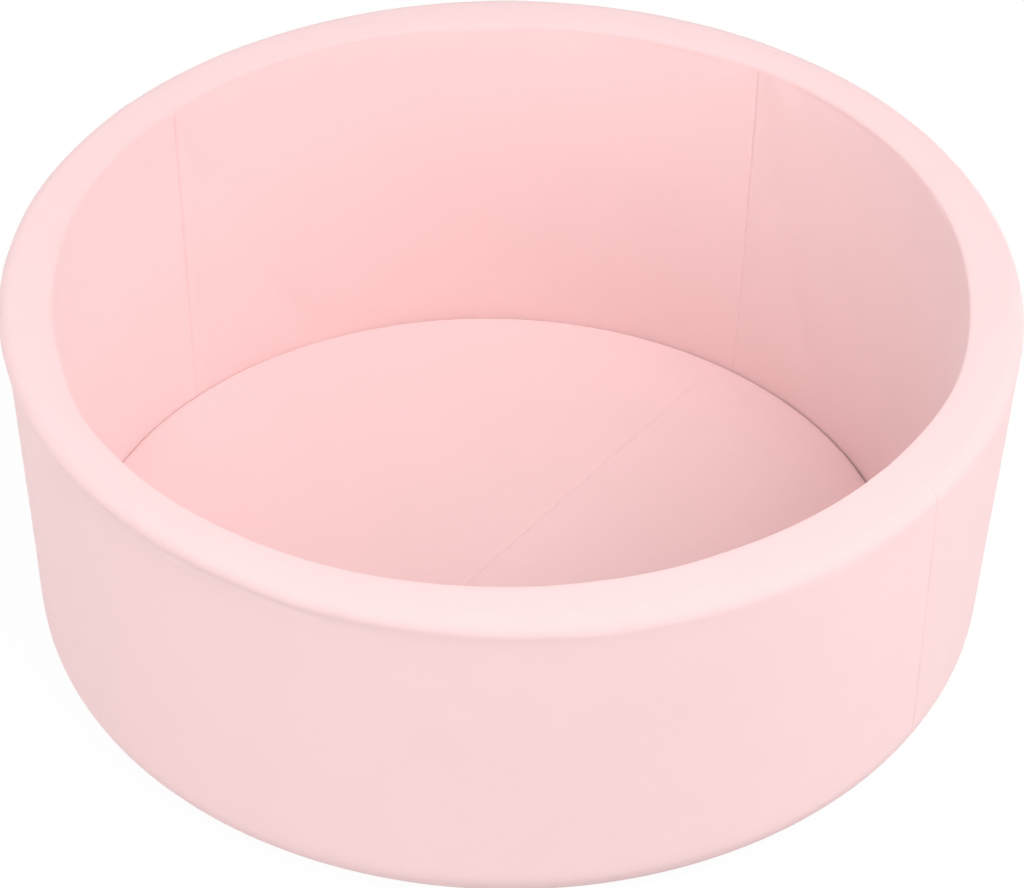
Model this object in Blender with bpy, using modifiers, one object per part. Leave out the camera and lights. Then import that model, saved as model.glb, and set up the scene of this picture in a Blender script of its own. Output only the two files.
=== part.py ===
# Round soft ball pit: a ring of wall foam and a floor pad in a sewn cloth cover.
# The cover's base zips off round the bottom edge, so that the foam comes out.
# Metres, +Z up. The origin is on the ground under the middle of the rim.
# Azimuths count from +X towards +Y, and the side that faces -Y is the front.

from collections import namedtuple
from math import atan2, cos, exp, pi, radians, sin, sqrt

import bmesh
import bpy
from mathutils import Matrix, Vector

# Whole pit
rim_radius = 0.450
pit_height = 0.346
wall_thickness = 0.050
base_radius = 0.423
bottom_rounding = 0.045
rim_outer_rounding = 0.018
rim_inner_rounding = 0.005
floor_height = 0.024
floor_crown = 0.003
floor_edge_round = 0.006
floor_shift = 0.018

# Cloth and the gaps between neighbours
cover_thickness = 0.0015
fit_gap = 0.0003
floor_edge_gap = 0.0012
tuck_depth = 0.008
tuck_step = 0.0006
seam_depth = 0.0018
seam_reach = 0.006
floor_seam_depth = 0.0008
rim_crown = 0.001
roll_drop = 0.007
roll_pinch = 0.0026
wall_puff = 0.0015

# Seams: three across the wall, and one across the floor in line with the first
wall_seams = (radians(54), radians(138), radians(324))
floor_seam = wall_seams[0]
slack_azimuth = radians(225)
turn_step = radians(6)

# Floor pad
pad_bottom_chamfer = 0.010

# Zip, on the bottom edge where it is out of sight
zip_below_level = radians(60)
zip_step = radians(3)
zip_lap_azimuth = radians(90)
zip_lap_length = 0.070
tape_half_width = 0.0058
tape_thickness = 0.0008
tape_sink = 0.0004
tape_edge_gap = 0.0008
coil_width = 0.0022
coil_height = 0.0013
stop_length = 0.0024
stop_height = 0.0018
stop_overhang = 0.0002

# Slider and its pull
slider_length = 0.010
slider_side = 0.0010
slider_plate = 0.0010
slider_taper = 0.0007
crown_half_length = 0.0026
crown_wire_radius = 0.00045
pull_length = 0.030
pull_width = 0.0060
pull_thickness = 0.0009
pull_window_length = 0.0040
pull_window_width = 0.0032
pull_hole_radius = 0.0014
pull_edge_round = 0.0002

# Shares of the run that they divide
outer_wall_shares = (0.36, 0.72)
inner_wall_shares = (0.42, 0.86)
bottom_arc_shares = (1.0, 0.66, 0.33)
floor_shares = (0.34, 0.66)
floor_edge_shares = ((2.0, 0.0), (0.4, 0.25), (0.0, 0.9))
slack_share = 0.15
coil_corner_share = 0.35
crown_shoulder_share = 0.72

# Worked out from the sizes above
bottom_centre = base_radius - bottom_rounding
rim_inner_radius = rim_radius - wall_thickness
floor_radius = base_radius - wall_thickness
top_height = pit_height - rim_crown
skin_depth = max(cover_thickness, tape_sink + tape_thickness) + fit_gap
tape_angle = tape_half_width / bottom_rounding
cover_edge_angle = zip_below_level - tape_angle - tape_edge_gap / bottom_rounding
base_edge_angle = zip_below_level + tape_angle + fit_gap / bottom_rounding
zip_radius = bottom_centre + bottom_rounding * cos(zip_below_level)
zip_height = bottom_rounding - bottom_rounding * sin(zip_below_level)
coil_base = fit_gap - tape_sink
coil_top = coil_base + coil_height
lap_angle = zip_lap_length / zip_radius
chain_start = zip_lap_azimuth + lap_angle / 2
chain_end = zip_lap_azimuth - lap_angle / 2 + 2 * pi
stop_angle = stop_length / zip_radius
gap_angle = fit_gap / zip_radius
plate_base = coil_top + fit_gap
plate_top = plate_base + slider_plate
slider_half_width = fit_gap / 2 + coil_width + fit_gap + slider_side
bar_reach = pull_thickness / sqrt(2)
pivot_height = plate_top + bar_reach + fit_gap
crown_height = pivot_height + bar_reach + fit_gap + crown_wire_radius
slider_azimuth = chain_end - stop_angle - gap_angle - slider_length / 2 / zip_radius

# A place on the wall's outline: where it is, which way is out, how far it is pushed out,
# and its shares of the pinch under the rim, of the seams' draw and of the floor's shift.
Place = namedtuple("Place", "radius height out_radius out_height puff pinch seam shift")


def colour_material(name, colour, roughness, metallic=0.0):
    material = bpy.data.materials.new(name)
    material.use_nodes = True
    shader = material.node_tree.nodes["Principled BSDF"]
    shader.inputs["Base Color"].default_value = (*colour, 1.0)
    shader.inputs["Roughness"].default_value = roughness
    shader.inputs["Metallic"].default_value = metallic
    material.diffuse_color = (*colour, 1.0)
    return material


def clear_scene():
    for thing in list(bpy.data.objects):
        bpy.data.objects.remove(thing, do_unlink=True)


def new_collection(name):
    collection = bpy.data.collections.new(name)
    bpy.context.scene.collection.children.link(collection)
    return collection


def place_on_line(start, end, share, **shares):
    """A place on the straight run between two (radius, height) points, whose outside is on its right."""
    run = Vector((end[0] - start[0], end[1] - start[1]))
    point = Vector(start) + run * share
    out = Vector((run.y, -run.x)).normalized()
    values = dict(puff=0.0, pinch=0.0, seam=1.0, shift=0.0)
    values.update(shares)
    return Place(point.x, point.y, out.x, out.y, **values)


def place_on_arc(centre, arc_radius, angle, **shares):
    """A place on an arc of the outline, at an angle above the level of the arc's centre."""
    values = dict(puff=0.0, pinch=0.0, seam=1.0, shift=0.0)
    values.update(shares)
    out = (cos(angle), sin(angle))
    return Place(centre[0] + arc_radius * out[0], centre[1] + arc_radius * out[1], *out, **values)


def bottom_arc(angle, seam):
    return place_on_arc((bottom_centre, bottom_rounding), bottom_rounding, -angle, seam=seam)


def wall_places():
    """The wall cover's outline: from the zip up the outside, over the rim and down to the floor crease."""
    foot = (base_radius, bottom_rounding)
    shoulder = (rim_radius, top_height - rim_outer_rounding)
    outer_centre = (rim_radius - rim_outer_rounding, shoulder[1])
    inner_centre = (rim_inner_radius + rim_inner_rounding, top_height - rim_inner_rounding)
    brow = (rim_inner_radius, inner_centre[1])
    crease = (floor_radius, floor_height)
    valley_share = 1 - roll_drop / (shoulder[1] - foot[1])

    places = [bottom_arc(cover_edge_angle * share, 1 - share) for share in bottom_arc_shares]
    places.append(place_on_line(foot, shoulder, 0))
    for share in outer_wall_shares:
        places.append(place_on_line(foot, shoulder, share, puff=wall_puff))
    places.append(place_on_line(foot, shoulder, valley_share, pinch=1.0))
    places.append(place_on_arc(outer_centre, rim_outer_rounding, 0))
    places.append(place_on_arc(outer_centre, rim_outer_rounding, pi / 4))
    places.append(place_on_arc(outer_centre, rim_outer_rounding, pi / 2))
    places.append(place_on_line((inner_centre[0], top_height), (outer_centre[0], top_height), 0.5)
                  ._replace(out_radius=0, out_height=1, puff=rim_crown))
    for angle in (pi / 2, 3 * pi / 4, pi):
        places.append(place_on_arc(inner_centre, rim_inner_rounding, angle))
    for share in inner_wall_shares:
        places.append(place_on_line(brow, crease, share, shift=share))
    places.append(Place(*crease, -1, 0, 0, 0, 1, 1))
    places.append(Place(floor_radius + tuck_step, floor_height - tuck_depth, -1, 0, 0, 0, 0, 1))
    return places


def foam_places():
    """The wall foam's outline: the cover's, closed along the bottom under the floor pad's edge."""
    bottom = [Place(bottom_centre, 0, 0, -1, 0, 0, 0, 0),
              bottom_arc((base_edge_angle + pi / 2) / 2, 0),
              bottom_arc(base_edge_angle, 0)]
    heel = Place(floor_radius + tuck_step, 0, -1, -1, 0, 0, 0, 1)
    return bottom + wall_places() + [heel]


def rest_height(radius, depth):
    """Height of the base cover's bottom surface at a radius, at a depth under the cloth's face."""
    reach = radius - bottom_centre
    if reach <= 0:
        return depth
    arc = bottom_rounding - depth
    return bottom_rounding - sqrt(max(arc * arc - reach * reach, 0))


def seam_draw(distance, depth):
    """How far a sewn seam draws the cloth in, at a distance from it."""
    return depth * exp(-(2 * distance / seam_reach) ** 2)


def slack(azimuth):
    """How loose the cloth hangs under the rim: most at the front left, least opposite."""
    facing = (1 + cos(azimuth - slack_azimuth)) / 2
    return slack_share + (1 - slack_share) * facing * facing


def wall_point(mark, azimuth):
    """Radius and height of an outline's place, at a depth under the cloth's face, at an azimuth."""
    place, depth = mark
    nearest = min(abs((azimuth - seam + pi) % (2 * pi) - pi) for seam in wall_seams)
    push = place.puff - depth
    push -= place.pinch * roll_pinch * slack(azimuth)
    push -= place.seam * seam_draw(nearest * place.radius, seam_depth)
    radius = place.radius + place.out_radius * push
    height = place.height + place.out_height * push
    shift = floor_shift * place.shift
    radius = sqrt(radius * radius - (shift * sin(azimuth)) ** 2) - shift * cos(azimuth)
    if place.height == 0:
        height = rest_height(radius, depth)
    return radius, height


def floor_point(mark, azimuth):
    """The same for the floor, whose places are radius and height about the floor's own middle."""
    radius, height = mark
    across = radius * abs(sin(azimuth - floor_seam))
    if height < floor_height - tuck_depth / 2:
        return radius, height
    return radius, height - seam_draw(across, floor_seam_depth)


def fixed_point(mark, azimuth):
    return mark


def finish_object(name, bm, material, collection):
    bmesh.ops.remove_doubles(bm, verts=bm.verts, dist=fit_gap / 100)
    bmesh.ops.recalc_face_normals(bm, faces=bm.faces)
    mesh = bpy.data.meshes.new(name)
    bm.to_mesh(mesh)
    bm.free()
    mesh.materials.append(material)
    mesh.shade_smooth()
    mesh.set_sharp_from_angle(angle=radians(35))
    thing = bpy.data.objects.new(name, mesh)
    collection.objects.link(thing)
    return thing


def start_section(marks, azimuth, point):
    """The outline's points in the XZ plane, each carrying its number."""
    bm = bmesh.new()
    number = bm.verts.layers.int.new("number")
    for index, mark in enumerate(marks):
        radius, height = point(mark, azimuth)
        vert = bm.verts.new((radius, 0, height))
        vert[number] = index
    bm.verts.ensure_lookup_table()
    return bm, number


def settle_columns(bm, number, marks, azimuths, spun_step, point):
    """Moves each spun column to its own azimuth, and its points where the pit's form has them there.

    Cells are split along the same diagonal on every piece, so that nested pieces keep their gap."""
    bmesh.ops.remove_doubles(bm, verts=bm.verts, dist=fit_gap / 100)
    column = bm.verts.layers.int.new("column")
    for vert in bm.verts:
        turned = atan2(vert.co.y, vert.co.x) % (2 * pi)
        vert[column] = round(turned / spun_step) % len(azimuths)
        azimuth = azimuths[vert[column]]
        radius, height = point(marks[vert[number]], azimuth)
        vert.co = (radius * cos(azimuth), radius * sin(azimuth), height)
    for face in list(bm.faces):
        corners = sorted(face.verts, key=lambda vert: (vert[column], vert[number]))
        if len(corners) == 4 and corners[0][column] != corners[3][column]:
            bmesh.utils.face_split(face, corners[0], corners[3])


def turn_part(name, marks, cells, azimuths, point, material, collection):
    """Turns a section of faces from the first azimuth to the last. Its ends are closed by the faces."""
    bm, number = start_section(marks, azimuths[0], point)
    for cell in cells:
        bm.faces.new([bm.verts[index] for index in cell])
    bmesh.ops.triangulate(bm, faces=bm.faces)
    steps = len(azimuths) - 1
    angle = min(azimuths[-1] - azimuths[0], 2 * pi - turn_step)
    geometry = bm.verts[:] + bm.edges[:] + bm.faces[:]
    bmesh.ops.spin(bm, geom=geometry, cent=(0, 0, 0), axis=(0, 0, 1), angle=angle, steps=steps,
                   use_duplicate=False)
    settle_columns(bm, number, marks, azimuths, angle / steps, point)
    return finish_object(name, bm, material, collection)


def turn_round(name, marks, links, count, point, material, collection):
    """Turns an outline of edges all the way round."""
    bm, number = start_section(marks, 0, point)
    for start, end in links:
        bm.edges.new((bm.verts[start], bm.verts[end]))
    geometry = bm.verts[:] + bm.edges[:]
    bmesh.ops.spin(bm, geom=geometry, cent=(0, 0, 0), axis=(0, 0, 1), angle=2 * pi, steps=count,
                   use_merge=True, use_duplicate=False)
    azimuths = [2 * pi * step / count for step in range(count)]
    settle_columns(bm, number, marks, azimuths, 2 * pi / count, point)
    return finish_object(name, bm, material, collection)


def strip_cells(count):
    """Four-sided cells between an outer row of points and the inner row that follows it."""
    return [(index, index + 1, count + index + 1, count + index) for index in range(count - 1)]


def ring_links(count):
    return [(index, (index + 1) % count) for index in range(count)]


def chain_links(count):
    return [(index, index + 1) for index in range(count - 1)]


def panel_azimuths(start, end):
    """Columns from one seam to the next, with one more close to each seam."""
    half_gap = fit_gap / 2 / (floor_radius - floor_shift)
    near = seam_reach / rim_radius
    count = max(2, round((end - start) / turn_step))
    even = [start + (end - start) * step / count for step in range(1, count)]
    return [start + half_gap, start + near, *even, end - near, end - half_gap]


def seam_spans():
    """The three stretches of wall between the seams, as (start, end) azimuths."""
    ends = [*wall_seams[1:], wall_seams[0] + 2 * pi]
    return list(zip(wall_seams, ends))


def build_wall(materials, collection):
    names = ("back", "front_left", "right")
    places = wall_places()
    skin = [(place, 0) for place in places] + [(place, cover_thickness) for place in places]
    core = [(place, skin_depth) for place in foam_places()]
    for name, (start, end) in zip(names, seam_spans()):
        azimuths = panel_azimuths(start, end)
        turn_part("wall_cover_" + name, skin, strip_cells(len(places)), azimuths, wall_point,
                  materials["cloth"], collection)
        turn_part("wall_foam_" + name, core, [tuple(range(len(core)))], azimuths, wall_point,
                  materials["foam"], collection)


def floor_places(depth):
    """The floor's top from its middle to its edge, at a depth under the cloth's face."""
    edge = floor_radius - floor_edge_gap
    points = [(0, floor_height + floor_crown)]
    for share in floor_shares:
        points.append((edge * share, floor_height + floor_crown * (1 - share * share)))
    for inward, down in floor_edge_shares:
        points.append((edge - floor_edge_round * inward, floor_height - floor_edge_round * down))
    lowered = [(radius, height - depth) for radius, height in points[:-1]]
    last_radius, last_height = points[-1]
    lowered.append((last_radius - depth, last_height - depth / 2))
    return lowered


def build_floor(materials, collection):
    edge = floor_radius - floor_edge_gap
    hem = floor_height - tuck_depth
    face = [*floor_places(0), (edge, hem)]
    back = [*floor_places(cover_thickness), (edge - cover_thickness, hem)]
    near = seam_reach / floor_radius
    count = round(pi / turn_step)
    even = [pi * step / count for step in range(1, count)]
    across = Vector((-sin(floor_seam), cos(floor_seam), 0))
    for name, start, side in (("floor_cover_back", floor_seam, 1), ("floor_cover_front", floor_seam + pi, -1)):
        azimuths = [start + angle for angle in (0, near, *even, pi - near, pi)]
        half = turn_part(name, face + back, strip_cells(len(face)), azimuths, floor_point,
                         materials["cloth"], collection)
        half.location = across * side * fit_gap / 2
        half.location.x -= floor_shift

    depth = cover_thickness + fit_gap
    pad_radius = edge - depth - fit_gap
    pad_bottom = cover_thickness + fit_gap
    outline = [*floor_places(depth + floor_seam_depth)[:-1],
               (pad_radius, hem),
               (pad_radius, pad_bottom + pad_bottom_chamfer / 2),
               (pad_radius - pad_bottom_chamfer, pad_bottom),
               (0, pad_bottom)]
    pad = turn_round("floor_foam", outline, chain_links(len(outline)), round(2 * pi / turn_step),
                     fixed_point, materials["foam"], collection)
    pad.location.x = -floor_shift


def build_base(materials, collection):
    arc = [base_edge_angle, (base_edge_angle + pi / 2) / 2, pi / 2]

    def arc_point(angle, depth):
        reach = bottom_rounding - depth
        return (bottom_centre + reach * cos(angle), bottom_rounding - reach * sin(angle))

    outline = [(0, cover_thickness)]
    outline += [arc_point(angle, cover_thickness) for angle in reversed(arc)]
    outline += [arc_point(angle, 0) for angle in arc]
    outline += [(0, 0)]
    turn_round("base_cover", outline, chain_links(len(outline)), round(2 * pi / turn_step),
               fixed_point, materials["cloth"], collection)


def zip_point(across, proud):
    """Radius and height of a point on the zip: up the pit's side from its middle, and out of the cloth."""
    angle = zip_below_level - across / bottom_rounding
    reach = bottom_rounding + proud
    return bottom_centre + reach * cos(angle), bottom_rounding - reach * sin(angle)


def zip_azimuths(start, end):
    count = max(1, round((end - start) / zip_step))
    return [start + (end - start) * step / count for step in range(count + 1)]


def coil_section(side):
    """A coil's outline: flat on the tape, with its two upper corners rounded off."""
    near = fit_gap / 2
    far = near + coil_width
    corner = coil_height * coil_corner_share
    points = [(near, coil_base), (far, coil_base), (far, coil_top - corner), (far - corner, coil_top),
              (near + corner, coil_top), (near, coil_top - corner)]
    return [zip_point(side * across, proud) for across, proud in points]


def build_zip(materials, collection):
    count = round(2 * pi / zip_step)
    whole = [tuple(range(6))]
    for name, side in (("upper", 1), ("lower", -1)):
        edges = [(fit_gap / 2, -tape_sink), (tape_half_width, -tape_sink),
                 (tape_half_width, -tape_sink - tape_thickness), (fit_gap / 2, -tape_sink - tape_thickness)]
        tape = [zip_point(side * across, proud) for across, proud in edges]
        turn_round("zip_tape_" + name, tape, ring_links(len(tape)), count, fixed_point,
                   materials["tape"], collection)
        turn_part("zip_coil_" + name, coil_section(side), whole, zip_azimuths(chain_start, chain_end),
                  fixed_point, materials["coil"], collection)

    stop_far = fit_gap / 2 + coil_width + stop_overhang
    bottom_block = [(-stop_far, coil_base), (stop_far, coil_base), (stop_far, stop_height),
                    (-stop_far, stop_height)]
    top_block = [(fit_gap / 2, coil_base), (stop_far, coil_base), (stop_far, stop_height),
                 (fit_gap / 2, stop_height)]
    below = zip_azimuths(chain_start - gap_angle - stop_angle, chain_start - gap_angle)
    above = zip_azimuths(chain_end + gap_angle, chain_end + gap_angle + stop_angle)
    cell = [tuple(range(4))]
    turn_part("zip_bottom_stop", [zip_point(*corner) for corner in bottom_block], cell, below,
              fixed_point, materials["metal"], collection)
    for name, side in (("upper", 1), ("lower", -1)):
        corners = [zip_point(side * across, proud) for across, proud in top_block]
        turn_part("zip_top_stop_" + name, corners, cell, above, fixed_point, materials["metal"], collection)


def slider_station(collection):
    """An empty on the zip at the slider's rest: X along the zip, Y up the pit's side, Z out of the cloth."""
    station = bpy.data.objects.new("slider_station", None)
    collection.objects.link(station)
    out = Vector((cos(zip_below_level) * cos(slider_azimuth), cos(zip_below_level) * sin(slider_azimuth),
                  -sin(zip_below_level)))
    along = Vector((-sin(slider_azimuth), cos(slider_azimuth), 0))
    up = out.cross(along)
    turn = Matrix((along, up, out)).transposed()
    spot = Vector((zip_radius * cos(slider_azimuth), zip_radius * sin(slider_azimuth), zip_height))
    station.matrix_world = Matrix.Translation(spot) @ turn.to_4x4()
    return station


def curve_to_mesh(curve_object, name):
    """A mesh of a curve's evaluated form, with the seams of its caps welded."""
    bpy.context.view_layer.update()
    graph = bpy.context.evaluated_depsgraph_get()
    mesh = bpy.data.meshes.new_from_object(curve_object.evaluated_get(graph))
    bm = bmesh.new()
    bm.from_mesh(mesh)
    bmesh.ops.remove_doubles(bm, verts=bm.verts, dist=fit_gap / 100)
    bmesh.ops.recalc_face_normals(bm, faces=bm.faces)
    bm.to_mesh(mesh)
    bm.free()
    made = bpy.data.objects.new(name, mesh)
    bpy.data.objects.remove(curve_object, do_unlink=True)
    return made


def add_bevel(thing, width):
    bevel = thing.modifiers.new("rounded_edges", "BEVEL")
    bevel.width = width
    bevel.segments = 1
    bevel.limit_method = "ANGLE"
    bevel.angle_limit = radians(50)


def build_slider(materials, collection, cutters, station):
    """The slider's channel over the coils, narrower at its tail, with the crown that holds the pull."""
    half = slider_half_width
    inside = half - slider_side
    lip = coil_base
    section = [(-half, lip), (-inside, lip), (-inside, plate_base), (inside, plate_base), (inside, lip),
               (half, lip), (half, plate_top), (-half, plate_top)]
    bm = bmesh.new()
    tail = -slider_length / 2
    verts = [bm.verts.new((tail, across, proud)) for across, proud in section]
    face = bm.faces.new(verts)
    grown = bmesh.ops.extrude_face_region(bm, geom=[face])
    moved = [item for item in grown["geom"] if isinstance(item, bmesh.types.BMVert)]
    bmesh.ops.translate(bm, verts=moved, vec=(slider_length, 0, 0))
    for vert in bm.verts:
        if vert.co.x < 0 and abs(vert.co.y) > inside + slider_side / 2:
            vert.co.y -= slider_taper * (1 if vert.co.y > 0 else -1)
    body = finish_object("zip_slider", bm, materials["metal"], collection)
    body.parent = station

    curve = bpy.data.curves.new("crown", "CURVE")
    curve.dimensions = "3D"
    curve.bevel_depth = crown_wire_radius
    curve.bevel_resolution = 2
    curve.use_fill_caps = True
    spline = curve.splines.new("POLY")
    shoulder = crown_half_length * crown_shoulder_share
    path = [(-crown_half_length, plate_base + slider_plate / 2), (-crown_half_length, pivot_height),
            (-shoulder, crown_height), (shoulder, crown_height), (crown_half_length, pivot_height),
            (crown_half_length, plate_base + slider_plate / 2)]
    spline.points.add(len(path) - 1)
    for point, (along, proud) in zip(spline.points, path):
        point.co = (along, 0, proud, 1)
    wire = bpy.data.objects.new("crown_wire", curve)
    cutters.objects.link(wire)
    crown = curve_to_mesh(wire, "slider_crown")
    cutters.objects.link(crown)
    crown.parent = station
    crown.hide_render = True
    crown.display_type = "WIRE"
    join = body.modifiers.new("crown", "BOOLEAN")
    join.operation = "UNION"
    join.object = crown


def build_pull(materials, collection, station):
    """The flat pull tab: its end bar runs under the slider's crown, through the window's end."""
    curve = bpy.data.curves.new("pull", "CURVE")
    curve.dimensions = "2D"
    curve.fill_mode = "BOTH"
    curve.extrude = pull_thickness / 2
    near = pull_thickness / 2
    half = pull_width / 2
    far = near - pull_length + half
    tip = [(far - half * sin(angle), half * cos(angle)) for angle in (pi * step / 10 for step in range(11))]
    outline = [(near, half)] + tip + [(near, -half)]
    window_end = -near - pull_window_length
    window_half = pull_window_width / 2
    window = [(-near, -window_half), (window_end, -window_half), (window_end, window_half), (-near, window_half)]
    hole = [(far + pull_hole_radius * cos(angle), pull_hole_radius * sin(angle))
            for angle in (2 * pi * step / 12 for step in range(12))]
    for ring in (outline, window, hole):
        spline = curve.splines.new("POLY")
        spline.points.add(len(ring) - 1)
        spline.use_cyclic_u = True
        for point, (along, across) in zip(spline.points, ring):
            point.co = (along, across, 0, 1)
    flat = bpy.data.objects.new("pull_flat", curve)
    collection.objects.link(flat)
    pull = curve_to_mesh(flat, "zip_pull")
    collection.objects.link(pull)
    pull.data.materials.append(materials["metal"])
    pull.parent = station
    pull.location.z = pivot_height
    add_bevel(pull, pull_edge_round)


def main():
    clear_scene()
    parts = new_collection("ball_pit")
    cutters = new_collection("cutters")
    materials = {
        "cloth": colour_material("pink_cloth", (0.93, 0.68, 0.69), 0.85),
        "foam": colour_material("cream_foam", (0.90, 0.86, 0.74), 0.95),
        "tape": colour_material("pink_zip_tape", (0.90, 0.62, 0.64), 0.8),
        "coil": colour_material("pink_zip_coil", (0.90, 0.60, 0.62), 0.4),
        "metal": colour_material("zip_metal", (0.72, 0.72, 0.72), 0.35, 1.0),
    }
    build_wall(materials, parts)
    build_floor(materials, parts)
    build_base(materials, parts)
    build_zip(materials, parts)
    station = slider_station(parts)
    build_slider(materials, parts, cutters, station)
    build_pull(materials, parts, station)


main()
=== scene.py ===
# Looks of a round soft ball pit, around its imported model: sewn cloth covers stuffed by simulation,
# foam, a coil zip and its slider, each with a procedural material, and the stage with its lights.
# Metres, +Z up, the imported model's frame. Azimuths count from +X towards +Y.

from collections import namedtuple
from math import atan2, ceil, cos, degrees, exp, hypot, pi, radians, sin, sqrt

import bmesh
import bpy
from bpy.props import FloatProperty, FloatVectorProperty, IntProperty, PointerProperty
from bpy.types import Operator, Panel, PropertyGroup
from mathutils import Matrix, Vector, noise


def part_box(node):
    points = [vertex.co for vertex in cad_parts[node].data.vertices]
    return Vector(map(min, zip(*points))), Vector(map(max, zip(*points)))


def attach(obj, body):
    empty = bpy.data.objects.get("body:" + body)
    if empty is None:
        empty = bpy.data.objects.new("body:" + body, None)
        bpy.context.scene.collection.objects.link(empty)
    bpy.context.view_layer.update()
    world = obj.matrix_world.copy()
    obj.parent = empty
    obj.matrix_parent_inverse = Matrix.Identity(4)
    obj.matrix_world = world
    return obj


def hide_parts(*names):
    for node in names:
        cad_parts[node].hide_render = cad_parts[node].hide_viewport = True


bl_info = {
    "name": "Soft ball pit",
    "version": (1, 0, 0),
    "blender": (4, 5, 0),
    "location": "3D View > Sidebar > Ball Pit",
    "description": "Dresses a round foam ball pit in sewn cloth, with its foam and its zip",
    "category": "Object",
}

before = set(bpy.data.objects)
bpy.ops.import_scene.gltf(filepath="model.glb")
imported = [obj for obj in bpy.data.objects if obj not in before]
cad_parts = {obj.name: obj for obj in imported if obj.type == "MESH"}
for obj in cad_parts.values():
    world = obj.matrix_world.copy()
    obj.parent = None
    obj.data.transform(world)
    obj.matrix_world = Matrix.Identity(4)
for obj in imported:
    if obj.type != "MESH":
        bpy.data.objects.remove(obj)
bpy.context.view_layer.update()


def box_of(*nodes):
    """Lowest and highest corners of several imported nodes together."""
    boxes = [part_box(node) for node in nodes]
    low = Vector(min(box[0][axis] for box in boxes) for axis in range(3))
    high = Vector(max(box[1][axis] for box in boxes) for axis in range(3))
    return low, high


_, wall_high = box_of("wall_cover_back", "wall_cover_front_left", "wall_cover_right")
floor_low, floor_high = box_of("floor_cover_back", "floor_cover_front")

# The seams, as azimuths: three across the wall and one across the floor, in line with the first
wall_seams = (radians(54), radians(138), radians(324))
floor_seam = wall_seams[0]

# Half the gap between two sewn edges, the gap between floor and wall, and two distances for welding
half_gap = 0.00003
cloth_gap = 0.0004
tiny = 0.000001
join_reach = 5 * tiny

# The cloth mesh's nearest columns to a seam, as distances, and its rows round the floor pad's edge
seam_columns = (0.0011, 0.0028, 0.0060)
edge_rows = 5

# A place of the wall's outline: where it lies, the way outwards there, the run of cloth up to it, and
# its shares of the seams' depth, of the floor's shift and of the rim's edge offset
Place = namedtuple("Place", "radius height out_radius out_height run seam shift edge")
FloorSize = namedtuple("FloorSize", "radius crease shift")

# What changes round the wall. Each row is its place, in degrees from the front towards the right, how
# far slack cloth is drawn in under the rim, and how far the rim's inner edge lies outside its circle
wall_marks = ((-180, 0.0020, -0.003), (-150, 0.0025, 0.001), (-130, 0.0030, 0.002), (-110, 0.0045, 0.002),
              (-90, 0.0076, 0.000), (-75, 0.0115, 0.001), (-60, 0.0133, 0.007), (-45, 0.0129, 0.0075),
              (-32, 0.0117, 0.007), (-20, 0.0078, 0.0068), (-10, 0.0053, 0.0055), (0, 0.0034, 0.004),
              (12, 0.0020, 0.0025), (30, 0.0010, 0.0), (50, 0.0015, 0.0), (70, 0.0035, 0.004),
              (90, 0.0045, 0.001), (110, 0.0040, 0.003), (135, 0.0030, 0.004), (160, 0.0020, -0.002),
              (180, 0.0020, -0.003))

# How far the cloth is turned round the wall as sewn, which makes its seams lean. Each row is its place
# in the same degrees, and the turns in degrees at the wall's foot and at the rim
turn_marks = ((-180, 0.5, 1.8), (-132, 2.1, 1.8), (-40, 0.0, 0.0), (10, 0.0, 0.0), (54, 2.4, -2.8),
              (100, 0.0, 0.0), (144, 0.0, 1.8), (180, 0.5, 1.8))


def length_property(name, description, default, precision=4):
    return FloatProperty(
        name=name, description=description, default=default, precision=precision, unit="LENGTH")


def power_property(name, description, default):
    return FloatProperty(name=name, description=description, default=default, unit="POWER")


def angle_property(name, description, default):
    return FloatProperty(name=name, description=description, default=radians(default), subtype="ANGLE")


def number_property(name, description, default, lowest):
    return FloatProperty(name=name, description=description, default=default, min=lowest)


def colour_property(name, description, default):
    return FloatVectorProperty(
        name=name, description=description, default=default, size=3, subtype="COLOR", min=0, max=1)


class PitShape(PropertyGroup):
    rim_radius: length_property("Rim radius", "From the pit's axis to the outside of the rim", wall_high.x)
    pit_height: length_property("Height", "From the ground to the top of the rim", wall_high.z)
    wall_thickness: length_property("Wall thickness", "Thickness of the foam ring with its cover", 0.050)
    base_radius: length_property("Base radius", "Outer radius of the wall over its bottom edge", 0.423)
    bottom_rounding: length_property(
        "Bottom rounding", "Radius of the round along the bottom edge", 0.045)
    outer_rounding: length_property("Outer rim rounding", "Radius of the rim's outer edge", 0.018)
    inner_rounding: length_property("Inner rim rounding", "Radius of the rim's inner edge", 0.0035)
    side_give: length_property(
        "Side give", "How far the soft rim is pushed in at the pit's two sides", 0.004)
    rim_crown: length_property("Rim crown", "Rise of the rim's middle over its edges", 0.001)
    floor_crown: length_property("Floor crown", "Rise of the floor's middle over its edge", 0.003)
    floor_edge_round: length_property("Floor edge round", "Radius of the floor pad's upper edge", 0.0048)
    floor_edge_gap: length_property(
        "Floor edge gap", "Gap between the floor pad and the wall at the crease", 0.0012)
    crease_open: length_property(
        "Open crease", "How much wider the crease stands open at the pit's right", 0.0011)
    tuck_depth: length_property(
        "Tuck depth", "How far the cloth runs down behind the floor pad's edge", 0.008)


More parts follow.
